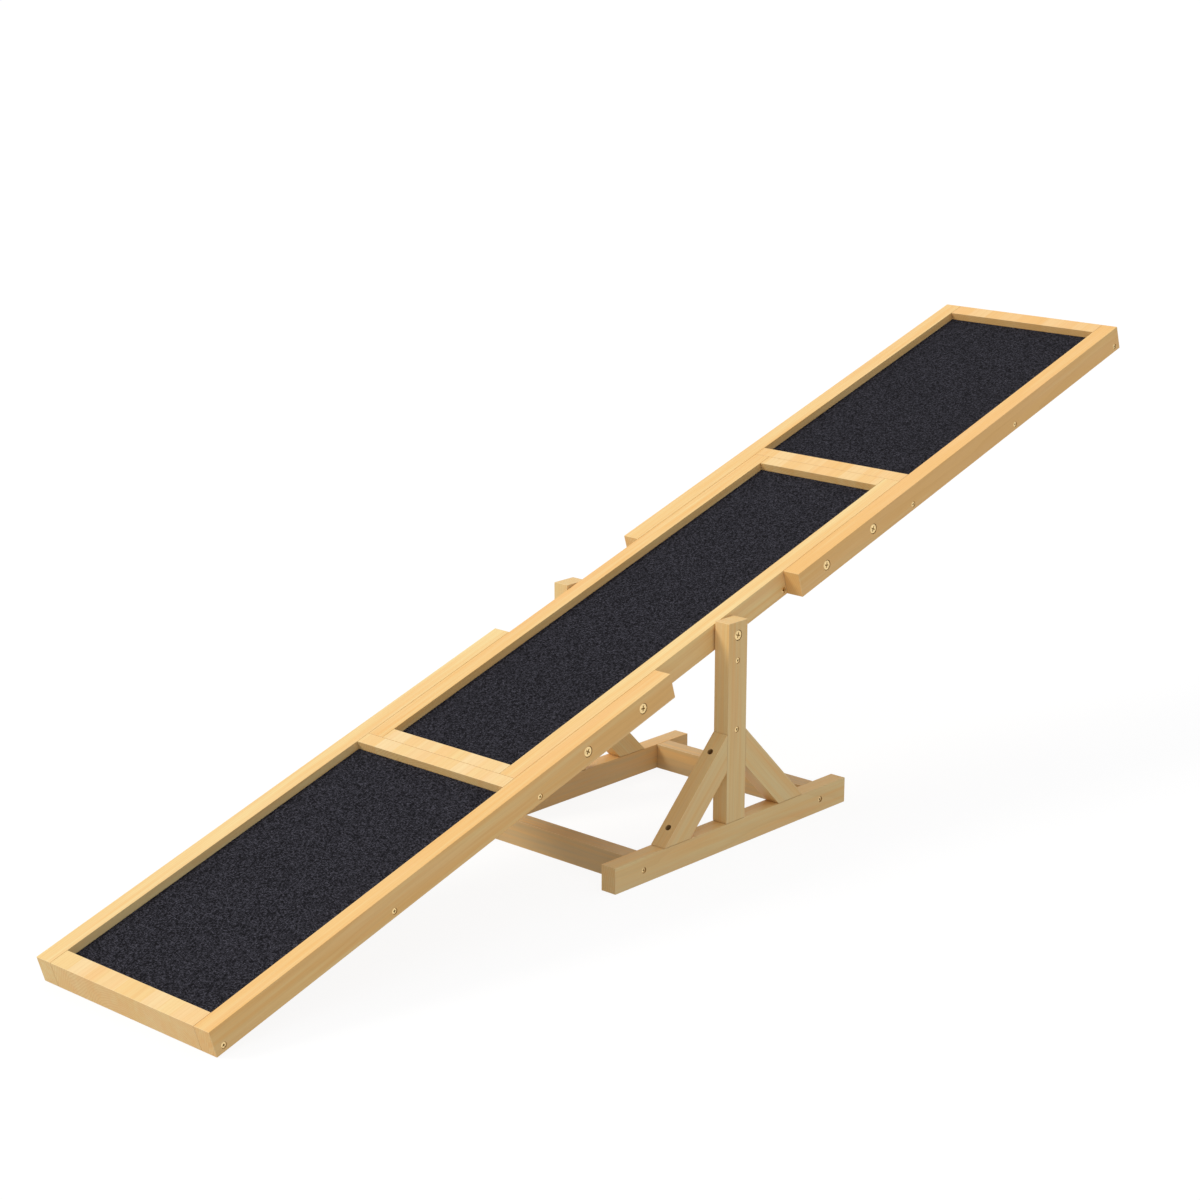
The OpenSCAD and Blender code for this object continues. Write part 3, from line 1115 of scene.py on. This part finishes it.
@dataclass(frozen=True)
class Hardware:
    """The fasteners of one CAD node: one is modelled and copied to each station."""

    node: str
    body: Body
    fastener: Fastener
    stations: tuple[Station, ...]
    smooth_to: float = 35.0

    def fit(self, material: Material) -> Piece:
        """Makes all of them as one piece.

        Args:
            material: Their plating.

        Returns:
            The piece.
        """
        dice, name = random.Random(self.node), f"plated_{self.node}"
        model, copies = self.fastener.model(), []
        for station in self.stations:
            for end in (1, -1) if station.at[0] else (1,):
                for side in (1, -1):
                    copies.append(Bench.copy(model, name))
                    spin = dice.uniform(0, math.pi / 2)
                    Bench.place(copies[-1], station.mirrored(end, side).matrix(spin))
        bpy.data.objects.remove(model)
        piece = Bench.join(copies)
        piece.name = piece.data.name = name
        Bench.smooth(piece, self.smooth_to)
        return Bench.hand_over(piece, self.body, self.node, Plating.BRASSED.value, material)


@dataclass(frozen=True)
class Place:
    """Where a copy of a timber goes: its CAD node, end and side, and how pale and grey it is.

    Contrast is how much its staves differ in tone, if it has them.
    """

    node: str
    end: int = 1
    side: int = 1
    pale: float = 0.4
    grey: float = 0.0
    contrast: float = 1.0


@dataclass(frozen=True)
class Timber:
    """A planed timber: drawn at the high left corner, and copied to each of its places.

    Facing is how much of a face's normal lies along an axis, and areas are in square metres.
    """

    spans: tuple[Span, Span, Span]
    fibre: Fibre
    body: Body
    places: Sequence[Place]
    holes: Holes = ()
    staves: bool = False
    edge: float = 0.6
    seam: float = 0.2
    slot: str = "timber"
    made: str = "planed"
    upright_contrast: float = 0.6
    pith: Span = (45.0, 85.0)
    top_facing: float = 0.7
    end_facing: float = 0.6
    end_area: float = 1e-4
    flat_facing: float = 0.98
    edge_area: float = 2e-4

    def saw(self) -> Piece:
        """Saws the timber square, a seam clear of its neighbours."""
        return Bench.block("timber", [(a + self.seam, b - self.seam) for a, b in self.spans])

    def model(self) -> Piece:
        """Saws the timber, eases its edges and bores its holes."""
        piece = self.saw()
        Bench.ease(piece, self.edge)
        self._tag_faces(piece)
        if self.holes:
            cutters = [fastener.cutter(station) for fastener, station in self.holes]
            Bench.cut(piece, Bench.join(cutters))
        return piece

    def _tag_faces(self, piece: Piece) -> None:
        """Marks the cut ends and the eased edges.

        Args:
            piece: The timber.
        """
        axes = [Vector(axis) for axis in self.fibre.value]

        def cut_end(face: Face) -> float:
            """1 for a broad face across the fibre, or else 0."""
            facing = abs(face.normal.dot(axes[0]))
            return float(facing > self.end_facing and face.area > self.end_area)

        def eased(face: Face) -> float:
            """1 for a narrow face that is square to none of the axes, or else 0."""
            facing = max(abs(face.normal.dot(axis)) for axis in axes)
            return float(facing <= self.flat_facing and face.area <= self.edge_area)

        Bench.tag(piece, "cut_end", cut_end)
        Bench.tag(piece, "eased", eased)

    def _tag_grain(self, piece: Piece, place: Place) -> None:
        """Writes each point's place in the timber's own axes, with the pith at zero.

        Args:
            piece: The timber, still at the high left corner.
            place: Where it goes.
        """
        dice = random.Random(place.node)
        turn, away = dice.uniform(0, math.tau), dice.uniform(*self.pith) * MM
        shift = [dice.uniform(-1, 1), away * math.cos(turn), away * math.sin(turn)]
        if self.staves:
            shift = [shift[0], 0.0, away]
        values = [
            vertex.co.dot(Vector(axis)) + start
            for vertex in piece.data.vertices
            for axis, start in zip(self.fibre.value, shift)
        ]
        grain = piece.data.attributes.new("grain", "FLOAT_VECTOR", "POINT")
        grain.data.foreach_set("vector", values)
        contrast = place.contrast if self.staves else 0.0
        Bench.tag(piece, "pale", place.pale)
        Bench.tag(piece, "grey", place.grey)
        Bench.tag(piece, "staves", lambda face: (
            contrast * (1 if abs(face.normal.z) > self.top_facing else self.upright_contrast)
        ))

    def set_out(self, material: Material) -> list[Piece]:
        """Makes a copy for each place.

        Args:
            material: The timber's material.

        Returns:
            The finished pieces.
        """
        model, pieces = self.model(), []
        for place in self.places:
            piece = Bench.copy(model, f"{self.made}_{place.node}")
            self._tag_grain(piece, place)
            Bench.mirror(piece, place.end, place.side)
            Bench.smooth(piece)
            pieces.append(Bench.hand_over(piece, self.body, place.node, self.slot, material))
        bpy.data.objects.remove(model)
        return pieces


@dataclass(frozen=True)
class BraceTimber(Timber):
    """A 45 degree brace, sawn from a square length by its post and its runner."""

    post_x: float = 18.25
    runner_top: float = 34.5
    slope: float = 45.0

    def saw(self) -> Piece:
        """Turns the length to its slope and saws both ends off."""
        centre = Vector([(a + b) / 2 for a, b in self.spans])
        half = Vector([(b - a) / 2 - self.seam for a, b in self.spans])
        piece = Bench.block("brace", [(-reach, reach) for reach in half])
        lift = Matrix.Translation(centre * MM)
        Bench.place(piece, lift @ Matrix.Rotation(math.radians(self.slope), 4, "Y"))
        Bench.bisect(piece, (self.post_x + self.seam, 0, 0), (1, 0, 0))
        Bench.bisect(piece, (0, 0, self.runner_top + self.seam), (0, 0, 1))
        return piece


# ---- sub-assemblies


@dataclass
class Screws:
    """Every bolt and screw of the seesaw, and where it goes in at the high left corner."""

    face: float = 150.0
    middle_face: float = 124.5
    base_middle: float = 138.25
    bolt_level: float = 1.0
    screw_level: float = -8.0
    pivot_level: float = 281.0

    def __post_init__(self) -> None:
        """Sizes the fasteners of each CAD node and sets out their stations."""
        bolt = dict(head=Head.FLAT, head_d=13.0, head_h=1.8, sink=0.5, recess=0.39)
        screw = dict(head=Head.COUNTERSUNK, shank_d=4.0, head_d=7.6, head_h=2.0)
        face, level, middle = self.face, self.screw_level, self.base_middle
        outwards, down, slope = (0, 1, 0), (0, 0, -1), (SLANT, 0, SLANT)
        kinds = (
            ("frame_bolts", Body.BOARD, dict(shank_d=6.0, length=40.5, **bolt),
             outwards, (187.0, face, self.bolt_level), (290.0, face, self.bolt_level)),
            ("tip_screws", Body.BOARD, dict(length=50.5, **screw), outwards, (887.0, face, level)),
            ("end_slat_screws", Body.BOARD, dict(length=50.5, **screw),
             outwards, (626.0, face, level)),
            ("joint_screws", Body.BOARD, dict(length=75.0, **screw),
             outwards, (379.25, face, level)),
            ("middle_slat_screws", Body.BOARD, dict(length=49.5, **screw),
             outwards, (125.0, self.middle_face, level)),
            ("pivot_bolts", Body.BOARD,
             dict(shank_d=8.0, length=40.5, clear=0.08, seat_spare=0.4, **bolt),
             outwards, (0.0, face, 0.0)),
            ("post_screws", Body.BASE, dict(length=20.0, **screw),
             outwards, (0.0, face, 248.0), (0.0, face, 157.0)),
            ("post_foot_screws", Body.BASE, dict(length=51.5, counterbore=8.0, **screw),
             down, (9.125, middle, 0.0)),
            ("brace_screws", Body.BASE,
             dict(length=37.5, counterbore=8.0, seat_clear=0.15, **screw),
             slope, (38.4029, middle, 134.3471), (118.0971, middle, 54.6529)),
            ("cross_member_screws", Body.BASE, dict(length=48.5, sink=1.4, **screw),
             outwards, (176.0, face, 17.25)),
        )
        self.kinds = {
            node: Hardware(node, body, Fastener(**sizes), tuple(Station(at, way) for at in places))
            for node, body, sizes, way, *places in kinds
        }

    def holes(self, *nodes: str, ends: Sequence[int] = (1,)) -> Holes:
        """The holes that a timber needs.

        Args:
            nodes: The CAD nodes of the fasteners in it.
            ends: 1 for those at its high end, -1 for those at its low one.

        Returns:
            Each fastener and its station.
        """
        kinds = [self.kinds[node] for node in nodes]
        return tuple(
            (kind.fastener, station.mirrored(end, 1))
            for end in ends for kind in kinds for station in kind.stations
        )

    def post_holes(self) -> Holes:
        """The pivot bolt and the screws in a post's outer face."""
        pivot = Station((0.0, self.face, self.pivot_level))
        return (self.kinds["pivot_bolts"].fastener, pivot), *self.holes("post_screws")

    def build(self, brassed: Material) -> list[Piece]:
        """Makes the piece of each CAD node in this plating."""
        return [kind.fit(brassed) for kind in self.kinds.values()]


@dataclass
class GripMat:
    """A woven mat, cut flat and glued to its panel."""

    name: str
    spans: tuple[Span, Span, Span]
    end: int
    pale: float
    edge: float = 0.8
    edge_steps: int = 3
    flat_start: float = 0.5

    def build(self, material: Material) -> Piece:
        """Args:
            material: Its weave.

        Returns:
            The finished mat.
        """
        node = f"{self.name}_grip_mat"
        piece = Bench.block(f"woven_{node}", self.spans)
        Bench.ease(piece, self.edge, self.edge_steps, Bench.looking(piece, 1))
        self._map_flat_cut(piece.data)
        Bench.tag(piece, "pale", self.pale)
        Bench.mirror(piece, self.end, 1)
        Bench.smooth(piece)
        Bench.hand_over(piece, Body.BOARD, node, "grip_mat", material)
        return piece

    def _map_flat_cut(self, mesh: bpy.types.Mesh) -> None:
        """Maps the mat's flat cut in metres, across and along the board.

        Args:
            mesh: The mat's mesh.
        """
        while mesh.uv_layers:
            mesh.uv_layers.remove(mesh.uv_layers[0])
        layer = mesh.uv_layers.new(name="flat_cut")
        for loop in mesh.loops:
            spot = mesh.vertices[loop.vertex_index].co
            layer.data[loop.index].uv = (spot.y + self.flat_start, spot.x + self.flat_start)


@dataclass
class BoardFrame:
    """A framed section of the board, or both of a pair: rails, slats, panels and mats.

    Crosses holds each kind of cross rail, with its reach along the board and its places. Mats
    holds the name, the end and the paleness of each mat.
    """

    length: Span
    side: Span
    opening: Span
    slat: Span
    prefix: str
    sides: tuple[Place, ...]
    crosses: tuple[tuple[Span, tuple[Place, ...]], ...]
    mats: tuple[tuple[str, int, float], ...]
    top: float = 18.0
    bottom: float = -16.0
    slat_top: float = 0.0
    panel_top: float = 6.0
    mat_top: float = 8.0
    panel_edge: float = 0.3
    gap: float = 0.5

    def build(self, finishes: Finishes, holes: Holes) -> list[Piece]:
        """Builds the rails and slats, the panels on the slats and the mats on the panels.

        Args:
            finishes: The seesaw's materials.
            holes: The fasteners in its side rails.

        Returns:
            The finished pieces.
        """
        along, across, level = Fibre.ALONG, (-self.side[0], self.side[0]), (self.bottom, self.top)
        slats = (Place(f"{self.prefix}high_slat"), Place(f"{self.prefix}low_slat", -1))
        slat_spans = (self.slat, across, (self.bottom, self.slat_top))
        timbers = [Timber((self.length, self.side, level), along, Body.BOARD, self.sides, holes)]
        timbers += [
            Timber((reach, across, level), along, Body.BOARD, places, staves=True)
            for reach, places in self.crosses
        ]
        timbers.append(Timber(slat_spans, Fibre.ACROSS, Body.BOARD, slats))
        pieces = [piece for timber in timbers for piece in timber.set_out(finishes.timber)]
        cut = [(low + self.gap, high - self.gap) for low, high in (self.opening, across)]
        panels = Timber(
            (*cut, (self.slat_top, self.panel_top)), along, Body.BOARD,
            tuple(Place(f"{name}_panel", end) for name, end, _ in self.mats),
            edge=self.panel_edge, seam=0.0, slot="plywood", made="sanded",
        )
        pieces += panels.set_out(finishes.plywood)
        for name, end, pale in self.mats:
            mat = GripMat(name, (*cut, (self.panel_top, self.mat_top)), end, pale)
            pieces.append(mat.build(finishes.grip))
        return pieces


@dataclass
class EndFrames(BoardFrame):
    """The two outer frames, with tip and inner rails."""

    length: Span = (130.0, 900.0)
    side: Span = (124.5, 150.0)
    opening: Span = (410.0, 874.0)
    slat: Span = (608.5, 643.5)
    prefix: str = ""
    sides: tuple[Place, ...] = (
        Place("high_left_side_rail", 1, 1, 0.47), Place("high_right_side_rail", 1, -1, -0.04),
        Place("low_left_side_rail", -1, 1, 0.76), Place("low_right_side_rail", -1, -1, 0.23),
    )
    crosses: tuple[tuple[Span, tuple[Place, ...]], ...] = (
        ((874.0, 900.0), (
            # The high tip rail is set darker as painted fall-off of light at the board's high end.
            Place("high_tip_rail", 1, 1, -0.05, contrast=0.775),
            Place("low_tip_rail", -1, 1, 0.55),
        )),
        ((389.5, 410.0), (
            Place("high_inner_rail", 1, 1, 0.20, contrast=0.835),
            Place("low_inner_rail", -1, 1, 0.60),
        )),
    )
    # The mats' paleness is painted light: lightest on the low mat, darkest on the high one.
    mats: tuple[tuple[str, int, float], ...] = (("high", 1, 0.94), ("low", -1, 1.05))


@dataclass
class MiddleFrame(BoardFrame):
    """The frame between the posts, with end rails."""

    length: Span = (-389.5, 389.5)
    side: Span = (100.0, 124.5)
    opening: Span = (-369.0, 369.0)
    slat: Span = (107.5, 142.5)
    prefix: str = "middle_"
    sides: tuple[Place, ...] = (
        Place("middle_left_side_rail", 1, 1, 0.28), Place("middle_right_side_rail", 1, -1, 0.60),
    )
    crosses: tuple[tuple[Span, tuple[Place, ...]], ...] = (
        ((369.0, 389.5), (
            Place("middle_high_end_rail", 1, 1, 0.25, contrast=0.775),
            Place("middle_low_end_rail", -1, 1, 0.62),
        )),
    )
    mats: tuple[tuple[str, int, float], ...] = (("middle", 1, 0.99),)


@dataclass
class Base:
    """What stands still: runners, cross members, posts and braces."""

    thickness: Span = (126.5, 150.0)
    runner: float = 229.0
    height: float = 34.5
    member: Span = (163.25, 188.75)
    post: float = 18.25
    post_top: float = 299.0
    brace_width: float = 35.5
    brace_reach: float = 120.0
    brace_spare: float = 20.0
    # The base's grey is partly weathering and partly painted shade from the board above it.
    pale: float = 0.58
    grey: float = 0.15

    def build(self, finishes: Finishes, screws: Screws) -> list[Piece]:
        """Builds the base's timbers.

        Args:
            finishes: The seesaw's materials.
            screws: Its fasteners, for their holes.

        Returns:
            The finished pieces.
        """
        inside, level = self.thickness[0], (0.0, self.height)
        runners = Timber(
            ((-self.runner, self.runner), self.thickness, level), Fibre.ALONG, Body.BASE,
            (
                Place("left_runner", 1, 1, 0.20, 0.50),
                Place("right_runner", 1, -1, self.pale, self.grey),
            ),
            screws.holes("cross_member_screws", "post_foot_screws", ends=(1, -1)),
        )
        members = Timber(
            (self.member, (-inside, inside), level), Fibre.ACROSS, Body.BASE,
            (
                Place("high_cross_member", 1, 1, -0.20, 0.66),
                Place("low_cross_member", -1, 1, 0.25, 0.75),
            ),
        )
        posts = Timber(
            ((-self.post, self.post), self.thickness, (self.height, self.post_top)),
            Fibre.UPRIGHT, Body.BASE,
            self._places(("left_post", 1, 1), ("right_post", 1, -1)), screws.post_holes(),
        )
        timbers = (runners, members, posts, self._braces(screws))
        return [piece for timber in timbers for piece in timber.set_out(finishes.timber)]

    def _places(self, *homes: tuple[str, int, int]) -> tuple[Place, ...]:
        """Places of the base's timbers, all of one tone, from their nodes, ends and sides."""
        return tuple(Place(node, end, side, self.pale, self.grey) for node, end, side in homes)

    def _braces(self, screws: Screws) -> BraceTimber:
        """The four braces, from one square length in the middle of the slope.

        Args:
            screws: The seesaw's fasteners, for their holes.

        Returns:
            The braces' timber.
        """
        half, spare = self.brace_width / 2, self.brace_reach * SLANT + self.brace_spare
        middle = self.brace_reach / 2 - half * SLANT
        out, up = self.post + middle, self.height + middle
        return BraceTimber(
            ((out - spare, out + spare), self.thickness, (up - half, up + half)),
            Fibre.SLANTED, Body.BASE,
            self._places(
                ("left_high_brace", 1, 1), ("right_high_brace", 1, -1),
                ("left_low_brace", -1, 1), ("right_low_brace", -1, -1),
            ),
            screws.holes("brace_screws"), post_x=self.post, runner_top=self.height,
        )


@dataclass
class CarriedFittings:
    """The CAD's own washers, insert nuts and dowels, which only get their finish."""

    zinc: tuple[str, ...] = ("pivot_washers", "frame_insert_nuts", "pivot_insert_nuts")
    beech: tuple[str, ...] = ("inner_rail_dowels",)

    def dress(self, finishes: Finishes) -> list[Piece]:
        """Puts the materials on the nodes.

        Args:
            finishes: The seesaw's materials.

        Returns:
            The nodes' objects.
        """
        pieces = []
        for names, material in ((self.zinc, finishes.zinc), (self.beech, finishes.beech)):
            for name in names:
                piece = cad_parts[name]
                piece.data.materials.clear()
                piece.data.materials.append(material)
                pieces.append(piece)
        return pieces


def main() -> None:
    """Sets up the studio and builds the seesaw in order."""
    logging.basicConfig(level=logging.INFO, format="%(name)s: %(message)s")
    Studio().set_up()
    finishes, screws = Finishes(), Screws()
    nodes = ("frame_bolts", "tip_screws", "end_slat_screws", "joint_screws")
    pieces = EndFrames().build(finishes, screws.holes(*nodes))
    holes = screws.holes("middle_slat_screws", ends=(1, -1))
    pieces += MiddleFrame().build(finishes, holes)
    pieces += Base().build(finishes, screws)
    pieces += screws.build(finishes.brassed)
    pieces += CarriedFittings().dress(finishes)


if __name__ == "__main__":
    main()
